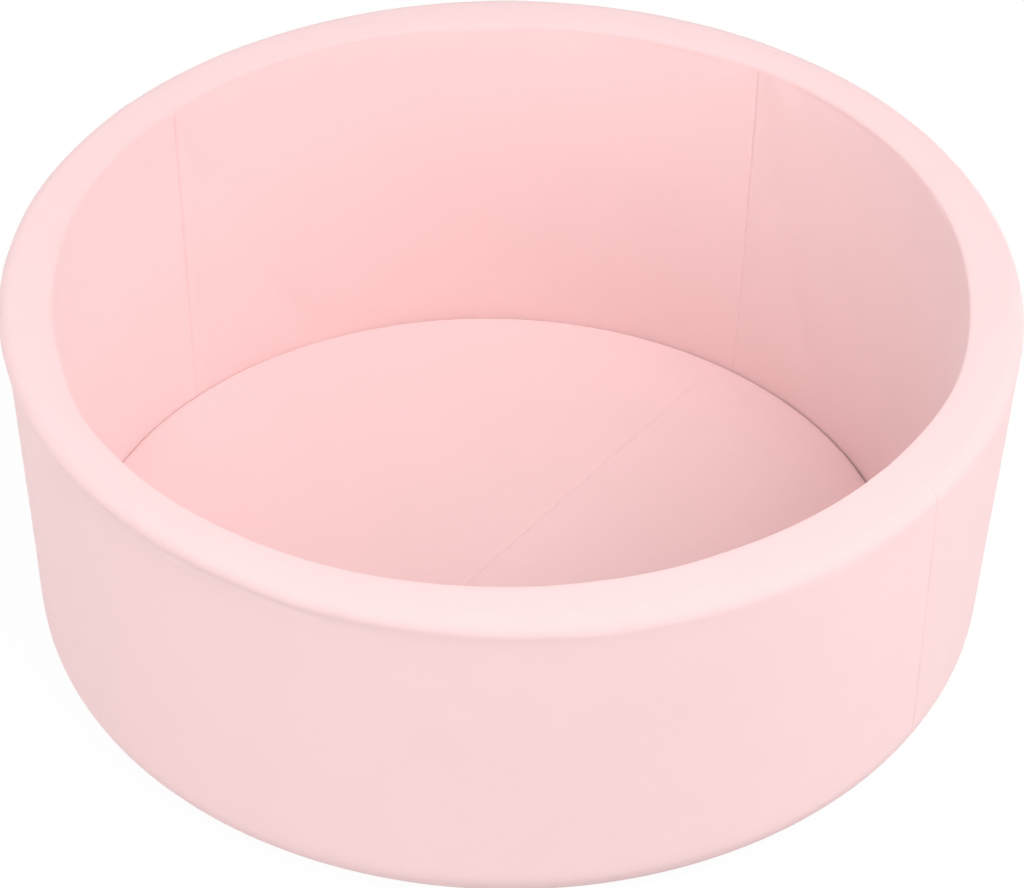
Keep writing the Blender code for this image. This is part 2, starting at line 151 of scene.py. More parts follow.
class PitCloth(PropertyGroup):
    colour: colour_property("Cloth colour", "Colour of the brushed cotton cover", (0.935, 0.70, 0.702))
    thickness: length_property("Cloth thickness", "Thickness of the cover's cloth", 0.0012)
    wale_pitch: length_property("Wale pitch", "Width of one knitted wale of the jersey", 0.0008)
    cell: length_property("Cell size", "Size of the cloth mesh's cells before it is stuffed", 0.012)
    pressure: number_property(
        "Stuffing pressure", "Pressure of the foam against the cloth in the simulation", 4.0, 0)
    give: length_property("Cloth give", "Furthest that stuffing moves a point of the cloth", 0.003)
    seam_depth: length_property("Seam depth", "How far a sewn seam draws the cloth in", 0.0018)
    seam_width: length_property("Seam width", "Half width of the groove along a sewn seam", 0.0012)
    draw_depth: length_property(
        "Draw depth", "How far the cloth beside a seam is drawn in with it", 0.0005)
    draw_width: length_property("Draw width", "Reach of the cloth drawn in beside a seam", 0.010)
    fold_width: length_property(
        "Rim fold width", "Height over which the cloth comes out again to the rim", 0.026)
    flare: length_property(
        "Flare", "Height under the rim over which the drawn-in cloth starts to flare", 0.050)
    flare_power: number_property(
        "Flare power", "How late in its height the drawn-in cloth flares", 2.4, 1)
    fine_band: length_property(
        "Fine band", "Height of wall under the rim where the cloth's cells are small", 0.032)
    fine_cell: length_property("Fine cell size", "Height of the cells in the fine band", 0.004)


class PitZip(PropertyGroup):
    below_level: angle_property("Angle below level", "Where the zip lies on the bottom edge's round", 60)
    half_width: length_property("Tape width", "Width of one zip tape", 0.0058)
    tape_thickness: length_property("Tape thickness", "Thickness of the zip tape", 0.0008)
    tape_sink: length_property("Tape sink", "Depth of the tape's face under the cover's face", 0.0004)
    coil_width: length_property("Coil width", "Width of one coil across the zip", 0.0022)
    coil_height: length_property("Coil height", "Height of the coils over the tape", 0.0013)
    wire_radius: length_property(
        "Coil wire radius", "Radius of the nylon wire that the coils are wound from", 0.00028, precision=5)
    lap_length: length_property("Lap length", "Length of tape without coils at the zip's two ends", 0.070)
    turns_doubled: IntProperty(
        name="Doublings", description="How often seven turns of coil are doubled to fill the zip",
        default=8, min=1, max=9)
    colour: colour_property("Zip colour", "Colour of the dyed tape and coils", (0.86, 0.56, 0.58))


class PitStage(PropertyGroup):
    lens: number_property("Lens", "Focal length of the camera in millimetres", 169.1, 10)
    distance: length_property("Distance", "From the camera to the point it looks at", 4.275, precision=3)
    elevation: angle_property("Elevation", "Angle of the camera above level", 38.9)
    look_at: FloatVectorProperty(
        name="Look at", description="Point that the camera looks at",
        default=(0.0028, 0.0, 0.165), size=3, precision=4, unit="LENGTH", subtype="XYZ")
    roll: angle_property("Roll", "Turn of the camera about its own line of sight", 0.42)
    lamp_distance: length_property("Lamp distance", "From the pit to each softbox", 5.5, precision=2)
    lamp_size: length_property("Lamp size", "Width and height of each softbox", 3.4, precision=2)
    front_power: power_property("Front power", "Power of the high softbox at the front", 92)
    key_power: power_property("Key power", "Power of the high softbox at the front right", 126)
    low_power: power_property("Low key power", "Power of the low softbox at the front right", 66)
    side_power: power_property("Side power", "Power of the softbox at the right", 65)
    fill_power: power_property("Fill power", "Power of the low softbox at the front left", 62)
    high_power: power_property("High fill power", "Power of the high softbox at the front left", 16)
    left_power: power_property("Left power", "Power of the low softbox at the left", 128)
    back_power: power_property("Back power", "Power of the low softbox behind the pit", 48)
    ambient: number_property("Ambient", "Strength of the even light from all round", 0.02, 0)


class Signal:
    """A value on a material's node tree. Arithmetic on signals adds the Math nodes."""

    def __init__(self, tree, socket=None):
        self.tree = tree
        self.socket = socket

    def node(self, kind, settings, inputs, output=0):
        """Adds a node: its settings first, then its sockets' values or links. Returns one output."""
        made = self.tree.nodes.new(kind)
        for key, value in settings.items():
            setattr(made, key, value)
        for key, value in inputs.items():
            if isinstance(value, Signal):
                self.tree.links.new(value.socket, made.inputs[key])
            else:
                made.inputs[key].default_value = value
        return Signal(self.tree, made.outputs[output])

    def math(self, operation, *values):
        return self.node("ShaderNodeMath", {"operation": operation}, dict(enumerate(values)))

    def __add__(self, other):
        return self.math("ADD", self, other)

    __radd__ = __add__

    def __sub__(self, other):
        return self.math("SUBTRACT", self, other)

    def __rsub__(self, other):
        return self.math("SUBTRACT", other, self)

    def __mul__(self, other):
        return self.math("MULTIPLY", self, other)

    __rmul__ = __mul__

    def __truediv__(self, other):
        return self.math("DIVIDE", self, other)

    def take(self, operation):
        """A function of this signal alone, such as its sine."""
        return self.math(operation, self)

    def wave(self):
        """A sine wave from 0 to 1, with one period for each whole number of this signal."""
        return (self * (2 * pi)).take("SINE") * 0.5 + 0.5

    def blend(self, first, second):
        """A colour between two others, by this signal from 0 to 1."""
        return self.node("ShaderNodeMix", {"data_type": "RGBA"}, {0: self, 6: first, 7: second}, 2)

    def bump(self, strength, distance, under=None):
        """A normal that this signal raises, on top of another normal where one is given."""
        inputs = {"Strength": strength, "Distance": distance, "Height": self}
        if under:
            inputs["Normal"] = under
        return self.node("ShaderNodeBump", {}, inputs)

    def object_place(self):
        return self.node("ShaderNodeTexCoord", {}, {}, "Object")

    def flat_place(self):
        """The cloth's own flat coordinates in metres: as a vector, and its first two numbers."""
        uv = self.node("ShaderNodeUVMap", {"uv_map": "cloth"}, {})
        return uv, *(self.node("ShaderNodeSeparateXYZ", {}, {0: uv}, axis) for axis in (0, 1))


def new_material(name, colour, **constants):
    """A material with a Principled shader, its constant sockets set, and a signal to start from."""
    material = bpy.data.materials.new(name)
    material.use_nodes = True
    material.diffuse_color = (*colour, 1)
    tree = material.node_tree
    shader = tree.nodes["Principled BSDF"]
    for key, value in constants.items():
        shader.inputs[key.replace("_", " ")].default_value = value
    return material, shader, Signal(tree)


def connect(shader, start, **signals):
    for key, signal in signals.items():
        start.tree.links.new(signal.socket, shader.inputs[key.replace("_", " ")])


def shade(colour, share):
    """The colour with its light scaled by a share, as a socket's four numbers."""
    return (*[min(1.0, channel * share) for channel in colour], 1)


def noise_at(start, vector, size, detail=2.0):
    """Noise from 0 to 1, with lumps of about the given size in metres."""
    return start.node("ShaderNodeTexNoise", {"noise_dimensions": "3D"},
                      {"Vector": vector, "Scale": 1 / size, "Detail": detail, "Roughness": 0.55}, "Fac")


def stretched(start, vector, scale):
    return start.node("ShaderNodeMapping", {"vector_type": "POINT"}, {"Vector": vector, "Scale": scale})


def cloth_material(name, colour, pitch):
    """Brushed cotton jersey: fine wales of V-shaped loops under a soft nap, a little uneven in tone."""
    material, shader, start = new_material(
        name, colour, Sheen_Weight=0.05, Sheen_Roughness=0.5, Sheen_Tint=(1.0, 0.80, 0.80, 1),
        Specular_IOR_Level=0.18, Diffuse_Roughness=0.6)
    course_share = 0.8
    loop_slant = 1.2
    uv, first, second = start.flat_place()
    place = start.object_place()
    across = first / pitch
    along = second / (pitch * course_share)
    from_wale = (across.take("FRACT") - 0.5).take("ABSOLUTE")
    rib = (from_wale * (2 * pi)).take("COSINE") * -0.5 + 0.5
    loop = (along + from_wale * loop_slant).wave()
    knit = rib * 0.6 + loop * rib * 0.4
    nap = noise_at(start, place, 0.0012, 3)
    fibres = noise_at(start, stretched(start, uv, (1, 4, 1)), 0.0045, 2)
    clouds = noise_at(start, place, 0.055, 2)
    broad = noise_at(start, place, 0.17, 1)
    ripples = noise_at(start, place, 0.018, 2)
    tone = clouds * 0.30 + broad * 0.20 + fibres * 0.16 + nap * 0.10 + knit * 0.24
    base = tone.blend(shade(colour, 0.955), shade(colour, 1.04))
    rough = 0.80 + (nap * 0.10 + (1 - knit) * 0.08)
    soft = (clouds * 0.7 + ripples * 0.3).bump(1.0, 0.0006)
    fine = (knit * 0.7 + nap * 0.5).bump(0.65, 0.00006, soft)
    connect(shader, start, Base_Color=base, Roughness=rough, Normal=fine)
    return material


def foam_material(name, colour):
    """Open-cell upholstery foam: small round pores of uneven size, with painted shade in their pits."""
    material, shader, start = new_material(name, colour, Specular_IOR_Level=0.2)
    place = start.object_place()
    wander = noise_at(start, place, 0.012, 2)
    large, small = (start.node("ShaderNodeTexVoronoi", {"feature": "F1"},
                               {"Vector": place, "Scale": pores_per_metre, "Randomness": 1.0}, "Distance")
                    for pores_per_metre in (620.0, 1500.0))
    cells = large * 0.7 + small * 0.3
    # Painted shade: the base colour darkens towards each pore's pit, where the bump is lowest.
    base = (cells * 0.6 + wander * 0.4).blend(shade(colour, 0.86), shade(colour, 1.05))
    connect(shader, start, Base_Color=base, Roughness=0.9 + cells * 0.08, Normal=cells.bump(0.8, 0.0004))
    return material


def tape_material(name, colour):
    """Woven zip tape: a herringbone of fine ribs, in narrow bands along the tape."""
    material, shader, start = new_material(name, colour, Sheen_Weight=0.1, Specular_IOR_Level=0.3)
    rib_pitch = 0.0007
    band_width = 0.0014
    rib_slant = 4
    _, first, second = start.flat_place()
    slant = ((second / band_width).take("FRACT") - 0.5).take("ABSOLUTE") * rib_slant
    twill = (first / rib_pitch + slant).wave()
    wear = noise_at(start, start.object_place(), 0.006, 3)
    base = (twill * 0.6 + wear * 0.4).blend(shade(colour, 0.88), shade(colour, 1.08))
    connect(shader, start, Base_Color=base, Roughness=0.72 + wear * 0.15, Normal=twill.bump(0.7, 0.00012))
    return material


def nylon_material(name, colour):
    """Dyed nylon wire: satin, a little paler where the slider has rubbed it."""
    material, shader, start = new_material(name, colour, Specular_IOR_Level=0.5, IOR=1.53)
    place = start.object_place()
    rubbed = noise_at(start, place, 0.004, 2)
    grain = noise_at(start, place, 0.0006, 2)
    base = rubbed.blend(shade(colour, 0.93), shade(colour, 1.10))
    connect(shader, start, Base_Color=base, Roughness=0.30 + rubbed * 0.18, Normal=grain.bump(0.3, 0.00004))
    return material


def metal_material(name, colour):
    """Nickel-plated zinc: satin, with the fine scratches of use."""
    material, shader, start = new_material(name, colour, Metallic=1.0)
    place = start.object_place()
    scratches = noise_at(start, stretched(start, place, (1, 1, 9)), 0.0016, 4)
    tarnish = noise_at(start, place, 0.005, 3)
    base = tarnish.blend(shade(colour, 0.86), shade(colour, 1.06))
    rough = 0.22 + scratches * 0.14 + tarnish * 0.10
    connect(shader, start, Base_Color=base, Roughness=rough, Normal=scratches.bump(0.35, 0.00003))
    return material


def material_once(name, make, *values):
    """The material of that name, made the first time that a piece asks for it."""
    return bpy.data.materials.get(name) or make(name, *values)


def cover_cloth():
    cloth = bpy.context.scene.pit_cloth
    return material_once("pink_jersey", cloth_material, tuple(cloth.colour), cloth.wale_pitch)


def cream_foam():
    return material_once("cream_foam", foam_material, (0.90, 0.86, 0.74))


def zip_tape():
    return material_once("woven_zip_tape", tape_material, tuple(bpy.context.scene.pit_zip.colour))


def zip_nylon():
    return material_once("zip_nylon", nylon_material, tuple(bpy.context.scene.pit_zip.colour))


def zip_metal():
    return material_once("nickel_plate", metal_material, (0.72, 0.72, 0.72))


def arc_places(centre, radius, start, end, count):
    """Places along an arc of the outline, both ends included, by angles above level."""
    places = []
    for step in range(count + 1):
        angle = start + (end - start) * step / count
        out = (cos(angle), sin(angle))
        places.append(((centre[0] + radius * out[0], centre[1] + radius * out[1]), out))
    return places


def line_places(start, end, count, with_end=False):
    """Places inside a straight run of the outline, whose outside is on its right."""
    run = Vector(end) - Vector(start)
    out = Vector((run.y, -run.x)).normalized()
    return [(tuple(Vector(start) + run * step / count), tuple(out))
            for step in range(1, count + 1 if with_end else count)]


def bottom_arc(start, end, count):
    """Places on the round along the wall's bottom edge."""
    rounding = bpy.context.scene.pit_shape.bottom_rounding
    return arc_places((flat_radius(), rounding), rounding, start, end, count)


def flat_radius():
    """Radius of the pit's flat underside, inside the bottom edge's round."""
    shape = bpy.context.scene.pit_shape
    return shape.base_radius - shape.bottom_rounding


def cover_end_angle():
    """Where the wall cover's hem ends on the bottom round, beside the upper tape."""
    shape, zipper = bpy.context.scene.pit_shape, bpy.context.scene.pit_zip
    return zipper.below_level - (zipper.half_width + zipper.tape_thickness) / shape.bottom_rounding


def base_end_angle():
    shape, zipper = bpy.context.scene.pit_shape, bpy.context.scene.pit_zip
    return zipper.below_level + (zipper.half_width + 2 * half_gap) / shape.bottom_rounding


def floor_size():
    """The floor's radius to the crease, the wall's inner radius there before the floor's shift, and how
    far the floor's middle lies towards -X."""
    shape = bpy.context.scene.pit_shape
    return FloorSize((floor_high.x - floor_low.x) / 2 + shape.floor_edge_gap,
                     shape.base_radius - shape.wall_thickness, -(floor_high.x + floor_low.x) / 2)


def wall_outline(row):
    """The wall cover's outline, from the zip up the outside, over the rim and down to the crease.

    A row is about how far apart the places lie on straight runs. The roundings are closer."""
    shape, cloth = bpy.context.scene.pit_shape, bpy.context.scene.pit_cloth
    outer_steps, top_steps, inner_steps = 9, 4, 4
    top = shape.pit_height - shape.rim_crown
    foot = Vector((shape.base_radius, shape.bottom_rounding))
    shoulder = Vector((shape.rim_radius, top - shape.outer_rounding))
    outer = (shape.rim_radius - shape.outer_rounding, shoulder.y)
    inner = (shape.rim_radius - shape.wall_thickness + shape.inner_rounding, top - shape.inner_rounding)
    brow = (inner[0] - shape.inner_rounding, inner[1])
    crease = (floor_size().crease, floor_high.z - shape.floor_crown)
    band = shoulder + (foot - shoulder).normalized() * cloth.fine_band
    bottom = bottom_arc(-cover_end_angle(), 0, ceil(shape.bottom_rounding / row))
    outside = line_places(foot, band, ceil((band - foot).length / row), True)
    outside += line_places(band, shoulder, ceil(cloth.fine_band / cloth.fine_cell))
    rim_outer = arc_places(outer, shape.outer_rounding, 0, pi / 2, outer_steps)
    level = line_places((outer[0], top), (inner[0], top), top_steps)
    rim_top = [((spot[0], spot[1] + shape.rim_crown * (1 - (2 * step / top_steps - 1) ** 2)), out)
               for step, (spot, out) in enumerate(level, 1)]
    rim_inner = arc_places(inner, shape.inner_rounding, pi / 2, pi, inner_steps)
    inside = line_places(brow, crease, ceil((brow[1] - crease[1]) / row), True)
    tuck = [((crease[0] + half_gap * down, crease[1] - shape.tuck_depth * down / 2), (-1, 0))
            for down in (1, 2)]
    places, run = [], 0.0
    # Each stretch with its shares, at its start and its end, of the seams' depth, the shift and the edge
    for spots, *ends in (
            (bottom, (0, 0.6), (0, 0), (0, 0)), (outside, (0.6, 0.35), (0, 0), (0, 0)),
            (rim_outer, (0.4, 0.15), (0, 0), (0, 0)), (rim_top, (0.15, 0.15), (0, 0), (0, 1)),
            (rim_inner, (0.15, 0.15), (0, 0), (1, 1)), (inside, (0.9, 0.3), (0, 1), (1, 0)),
            (tuck, (0.3, 0.3), (1, 1), (0, 0))):
        for index, (spot, out) in enumerate(spots, 1):
            if places:
                run += hypot(spot[0] - places[-1].radius, spot[1] - places[-1].height)
            share = index / len(spots)
            places.append(Place(*spot, *out, run, *(low + (high - low) * share for low, high in ends)))
    return places


def shoulder_run(places):
    """Length of cloth from the zip to where the rim's outer rounding starts."""
    steep = 0.1
    return max(place.run for place in places if place.out_height < steep and place.out_radius > 0)


def near_seam(azimuth, radius):
    """Distance round the wall to the nearest wall seam."""
    return radius * min(abs((azimuth - seam + pi) % (2 * pi) - pi) for seam in wall_seams)


def seam_draw(distance):
    """How far a seam draws the cloth in, at a distance from it: a sharp groove in a wider dip."""
    cloth = bpy.context.scene.pit_cloth
    return (cloth.seam_depth * hump(distance, cloth.seam_width)
            + cloth.draw_depth * hump(distance, cloth.draw_width))


def hump(distance, reach):
    """1 at no distance, falling off smoothly to near 0 at twice the reach."""
    return exp(-(distance / reach) ** 2)


def clamp(value):
    return min(1.0, max(0.0, value))


def ease(value):
    """From 0 to 1 with a level start and a level end."""
    share = clamp(value)
    return share * (share * (3 - 2 * share))


def marks_at(azimuth, marks):
    """A table's values at an azimuth, blended smoothly between the two nearest rows.

    Each row is its place, in degrees from the front towards the right, and the values there."""
    turned = (degrees(azimuth) + 270) % 360 - 180
    last = marks[0]
    for mark in marks:
        if turned < mark[0]:
            share = ease((turned - last[0]) / max(tiny, mark[0] - last[0]))
            return [start + (end - start) * share for start, end in zip(last[1:], mark[1:])]
        last = mark
    return list(last[1:])


def rim_fold(azimuth, past_shoulder):
    """How far slack cloth is drawn in under the rim: all the way down, and out again over the rim."""
    shape, cloth = bpy.context.scene.pit_shape, bpy.context.scene.pit_cloth
    wander, waves = 0.0015, 3.5
    depth = marks_at(azimuth, wall_marks)[0]
    off = past_shoulder - wander * noise.noise(Vector((cos(azimuth), sin(azimuth), 0)) * waves)
    out = clamp((off + cloth.flare) / (cloth.fold_width + cloth.flare)) ** cloth.flare_power
    return depth * (1 - clamp(-off / shape.pit_height)) * (1 - out * out * (3 - 2 * out))


def drawn_in(azimuth, distance, run, seam_share, shoulder):
    """How far seams and the rim's fold draw the wall's cloth in, all together."""
    return seam_share * seam_draw(distance) + rim_fold(azimuth, run - shoulder)


def wall_point(place, azimuth, push):
    """Where a place of the outline lies at an azimuth, pushed outwards."""
    shape = bpy.context.scene.pit_shape
    radius = place.radius + place.out_radius * push
    height = place.height + place.out_height * push
    up = max(0.0, place.height - shape.bottom_rounding) / shape.pit_height
    foot_turn, rim_turn = marks_at(azimuth, turn_marks)
    azimuth += radians(foot_turn + (rim_turn - foot_turn) * up)
    shift = floor_size().shift * place.shift
    radius = sqrt(radius * radius - (shift * sin(azimuth)) ** 2) - shift * cos(azimuth)
    radius += place.edge * marks_at(azimuth, wall_marks)[1] - shape.side_give * up * cos(azimuth) ** 2
    return Vector((radius * cos(azimuth), radius * sin(azimuth), height))


def full_turn(count):
    return [2 * pi * index / count for index in range(count)]


def panel_azimuths(start, end, step, edges):
    """Azimuths from one seam to the next, with columns closer to both seams."""
    radius = bpy.context.scene.pit_shape.rim_radius
    count = max(2, round((end - start) / step))
    even = [start + (end - start) * index / count for index in range(1, count)]
    close = [edge / radius for edge in edges]
    return [start + edge for edge in close] + even + [end - edge for edge in reversed(close)]


def seam_spans():
    ends = [*wall_seams[1:], wall_seams[0] + 2 * pi]
    return list(zip(("back", "front_left", "right"), wall_seams, ends))


def spin_columns(bm, azimuths, closed=False):
    """Spins what the mesh holds about +Z, one copy for each azimuth, and numbers the copies.

    An open strip's copies are spread evenly over part of a turn. Its caller moves them to their places."""
    column = bm.verts.layers.int.new("column")
    steps = len(azimuths) if closed else len(azimuths) - 1
    open_turn = 1.5 * pi
    angle = 2 * pi if closed else open_turn
    bmesh.ops.spin(bm, geom=bm.verts[:] + bm.edges[:] + bm.faces[:], cent=(0, 0, 0), axis=(0, 0, 1),
                   angle=angle, steps=steps, use_merge=closed, use_duplicate=False)
    for vert in bm.verts:
        turned = atan2(vert.co.y, vert.co.x) % (2 * pi)
        vert[column] = round(turned / (angle / steps)) % len(azimuths)
    put_in_order(bm, column)
    return column


def put_in_order(bm, column):
    """Sorts a spun mesh by column and row. A spin's own order changes from run to run."""
    row = bm.verts.layers.int["row"]
    count = len(bm.verts)
    bm.verts.sort(key=lambda vert: vert[column] * count + vert[row])
    bm.verts.index_update()

    def by_ends(part):
        numbers = [vert.index for vert in part.verts]
        return min(numbers) * count + max(numbers)

    bm.edges.sort(key=by_ends)
    bm.faces.sort(key=by_ends)


def start_outline(points, closed):
    """A bmesh with an outline of (radius, height) points in the XZ plane, each numbered by its row."""
    bm = bmesh.new()
    row = bm.verts.layers.int.new("row")
    verts = []
    for index, (radius, height) in enumerate(points):
        verts.append(bm.verts.new((radius, 0, height)))
        verts[-1][row] = index
    ends = verts[1:] + verts[:1] if closed else verts[1:]
    for first, second in zip(verts, ends):
        bm.edges.new((first, second))
    return bm, row


def weld(bm, dist=tiny):
    bmesh.ops.remove_doubles(bm, verts=bm.verts, dist=dist)


def tidy_normals(bm):
    bmesh.ops.recalc_face_normals(bm, faces=bm.faces[:])


def face_out(bm, spot, way):
    """Turns all faces over if the one nearest to the spot doesn't point the given way."""
    nearest = min(bm.faces, key=lambda face: (face.calc_center_median() - spot).length)
    bm.normal_update()
    if nearest.normal.dot(way) < 0:
        bmesh.ops.reverse_faces(bm, faces=bm.faces[:])


def cloth_layers(bm):
    """The layers that rumple reads: the run of cloth, the share of a seam's depth, the seam's distance."""
    return [bm.verts.layers.float.new(layer) for layer in ("run", "seam", "beside")]


def lay_uv(bm, place_of):
    """Writes the cloth's own flat coordinates in metres, from a function of a loop."""
    uv = bm.loops.layers.uv.new("cloth")
    for face in bm.faces:
        for loop in face.loops:
            loop[uv].uv = place_of(loop)


def new_piece(name, bm, material, body="pit"):
    """An object at the origin from a finished bmesh, smooth, riding on a body."""
    mesh = bpy.data.meshes.new(name)
    bm.to_mesh(mesh)
    bm.free()
    mesh.materials.append(material)
    mesh.shade_smooth()
    piece = bpy.data.objects.new(name, mesh)
    bpy.context.scene.collection.objects.link(piece)
    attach(piece, body)
    return piece


def hold_group(piece, held):
    """A vertex group with how firmly each vertex is held, from 0 to 1."""
    group = piece.vertex_groups.new(name="held")
    for vert in piece.data.vertices:
        weight = held[vert.index]
        if weight > 0:
            group.add([vert.index], weight, "REPLACE")


def stuff(piece, held):
    """Blows the cloth up against its held edges by simulation, and caps how far each point moves.

    The foam keeps the cloth out, so no point moves inwards."""
    settings = bpy.context.scene.pit_cloth
    frames = 20
    hold_group(piece, held)
    before = [(vert.co.copy(), vert.normal.copy()) for vert in piece.data.vertices]
    modifier = piece.modifiers.new("stuffing", "CLOTH")
    cloth = modifier.settings
    cloth.quality = 5
    cloth.mass = 0.3
    cloth.tension_stiffness = 15
    cloth.compression_stiffness = 15
    cloth.shear_stiffness = 5
    cloth.bending_stiffness = 2.0
    cloth.use_pressure = True
    cloth.uniform_pressure_force = settings.pressure
    cloth.vertex_group_mass = "held"
    cloth.effector_weights.gravity = 0
    modifier.collision_settings.use_collision = False
    modifier.point_cache.frame_end = frames
    scene = bpy.context.scene
    for number in range(1, frames + 1):
        scene.frame_set(number)
    graph = bpy.context.evaluated_depsgraph_get()
    after = [vert.co.copy() for vert in piece.evaluated_get(graph).data.vertices]
    scene.frame_set(1)
    piece.modifiers.remove(modifier)
    piece.vertex_groups.clear()
    for vert, (start, normal), end in zip(piece.data.vertices, before, after):
        move = end - start
        move -= normal * min(0.0, move.dot(normal))
        vert.co = start + move * settings.give / (settings.give + move.length)


def freeze(piece):
    """Applies the piece's modifiers to its mesh."""
    graph = bpy.context.evaluated_depsgraph_get()
    mesh = bpy.data.meshes.new_from_object(piece.evaluated_get(graph), preserve_all_data_layers=True,
                                           depsgraph=graph)
    piece.modifiers.clear()
    old = piece.data
    mesh.name = piece.name
    piece.data = mesh
    bpy.data.meshes.remove(old)


def refine(piece):
    """Subdivides the piece's mesh once."""
    modifier = piece.modifiers.new("smooth", "SUBSURF")
    modifier.levels = 1
    modifier.render_levels = 1
    modifier.boundary_smooth = "PRESERVE_CORNERS"
    freeze(piece)


def add_thickness(piece):
    """Gives the cloth its thickness, with cut edges that shade apart from its face."""
    bm = bmesh.new()
    bm.from_mesh(piece.data)
    for edge in bm.edges:
        edge.smooth = not edge.is_boundary
    bm.to_mesh(piece.data)
    bm.free()
    modifier = piece.modifiers.new("thickness", "SOLIDIFY")
    modifier.thickness = bpy.context.scene.pit_cloth.thickness
    modifier.offset = -1
    modifier.use_even_offset = True


def rumple(piece, ends, key, drawn):
    """Draws the cloth in at seams and folds, and adds the soft unevenness of cloth over foam.

    Drawn gives how far a place is drawn in. The key makes one piece's ripples differ from the next's.
    The cloth swells softly away from its hems, and ripples in reach of its seams but not in them."""
    hem_reach, ripple_reach, stitch_reach = 0.03, 0.014, 0.002
    swell, swell_waves, small_swells, apart = 0.0007, 7.0, 17.0, Vector((3, 1, 2))
    ripple, ripple_waves, small_ripples, own = 0.0004, 55.0, 120.0, Vector((0, 0, key))
    normals = [vert.normal.copy() for vert in piece.data.vertices]
    runs, shares, besides = (piece.data.attributes[name].data for name in ("run", "seam", "beside"))
    for vert, normal, run, share, beside in zip(piece.data.vertices, normals, runs, shares, besides):
        place, distance = vert.co, beside.value
        free = clamp(min(run.value - ends[0], ends[1] - run.value) / hem_reach)
        soft = (0.5 + noise.noise(place * swell_waves) * 0.6
                + noise.noise(place * small_swells + apart) * 0.35)
        fine = noise.noise(place * ripple_waves + own) + 0.6 * noise.noise(place * small_ripples + own)
        near = exp(-distance / ripple_reach) * min(1.0, distance / stitch_reach)
        push = swell * soft * free + ripple * fine * near * free
        push -= drawn(place, run.value, share.value, distance)
        vert.co = place + normal * push
    piece.data.update()


def sewn_cover(name, bm, held, ends, key, drawn):
    """A cover from its bmesh: stuffed, made fine, drawn in at its seams, and given its thickness."""
    piece = new_piece(name, bm, cover_cloth())
    stuff(piece, held)
    refine(piece)
    rumple(piece, ends, key, drawn)
    add_thickness(piece)
    return piece


class PIT_OT_wall_covers(Operator):
    """Sews the three lengths of cloth that cover the wall, and stuffs them"""
    bl_idname = "ball_pit.wall_covers"
    bl_label = "Wall covers"

    def execute(self, context):
        shape, cloth = context.scene.pit_shape, context.scene.pit_cloth
        seam_hold, hem_hold, tuck_rows = 0.012, 0.004, 2
        places = wall_outline(cloth.cell)
        shoulder = shoulder_run(places)
        last = places[-1].run
        crease = places[-1 - tuck_rows].run
        middle_radius = shape.rim_radius - shape.wall_thickness / 2

        def drawn(place, run, share, distance):
            return drawn_in(atan2(place.y, place.x), distance, run, share, shoulder)

        for key, (name, start, end) in enumerate(seam_spans()):
            azimuths = panel_azimuths(start, end, cloth.cell / shape.rim_radius, (half_gap, *seam_columns))
            bm, row = start_outline([(place.radius, place.height) for place in places], False)
            column = spin_columns(bm, azimuths)
            run, seam, beside = cloth_layers(bm)
            held = []
            for vert in bm.verts:
                place, azimuth = places[vert[row]], azimuths[vert[column]]
                vert.co = wall_point(place, azimuth, 0)
                vert[run], vert[seam] = place.run, place.seam
                vert[beside] = near_seam(azimuth, place.radius)
                hem = min(place.run, abs(crease - place.run), last - place.run)
                firm = vert[beside] < seam_hold or hem < hem_hold or place.run > crease
                held.append(1.0 if firm else 0.0)
            middle = (start + end) / 2
            top = Vector((middle_radius * cos(middle), middle_radius * sin(middle), shape.pit_height))
            face_out(bm, top, Vector((0, 0, 1)))
            lay_uv(bm, lambda loop: (azimuths[loop.vert[column]] * shape.rim_radius, loop.vert[run]))
            piece = sewn_cover("cloth_wall_" + name, bm, held, (0.0, crease), key, drawn)
            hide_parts("wall_cover_" + name)
            length = (end - start) * middle_radius
        return {"FINISHED"}


def floor_point(reach, height, azimuth):
    """A place of the floor's outline at an azimuth. The crease stands more open at the right."""
    open_towards = radians(15)
    radius, _, shift = floor_size()
    opening = bpy.context.scene.pit_shape.crease_open * max(0.0, cos(azimuth - open_towards)) ** 2
    reach *= 1 - opening / radius
    return Vector((reach * cos(azimuth) - shift, reach * sin(azimuth), height))


def floor_rows(row, depth):
    """The floor's outline from its middle to its hem, a depth under the cloth's face.

    Its last rows are the edge's round, which is twice as wide as it is high, and the hem."""
    shape = bpy.context.scene.pit_shape
    stretch = 2
    radius = floor_size().radius - cloth_gap
    flat = radius - stretch * shape.floor_edge_round
    count = ceil(flat / row)
    level = floor_high.z - shape.floor_crown
    points = [(flat * step / count, level + shape.floor_crown * (1 - (flat * step / count / radius) ** 2))
              for step in range(count + 1)]
    for step in range(1, edge_rows + 1):
        angle = pi / 2 * (1 - step / edge_rows)
        drop = shape.floor_edge_round * (1 - sin(angle))
        points.append((flat + stretch * shape.floor_edge_round * cos(angle), level - drop))
    points.append((radius, level - shape.tuck_depth))
    # The edge's rows move in by the depth. The level rows and the edge's first two move down by it
    return [(max(0.0, reach - (depth if index > count else 0)),
             height - (depth if index <= count + 2 else 0)) for index, (reach, height) in enumerate(points)]


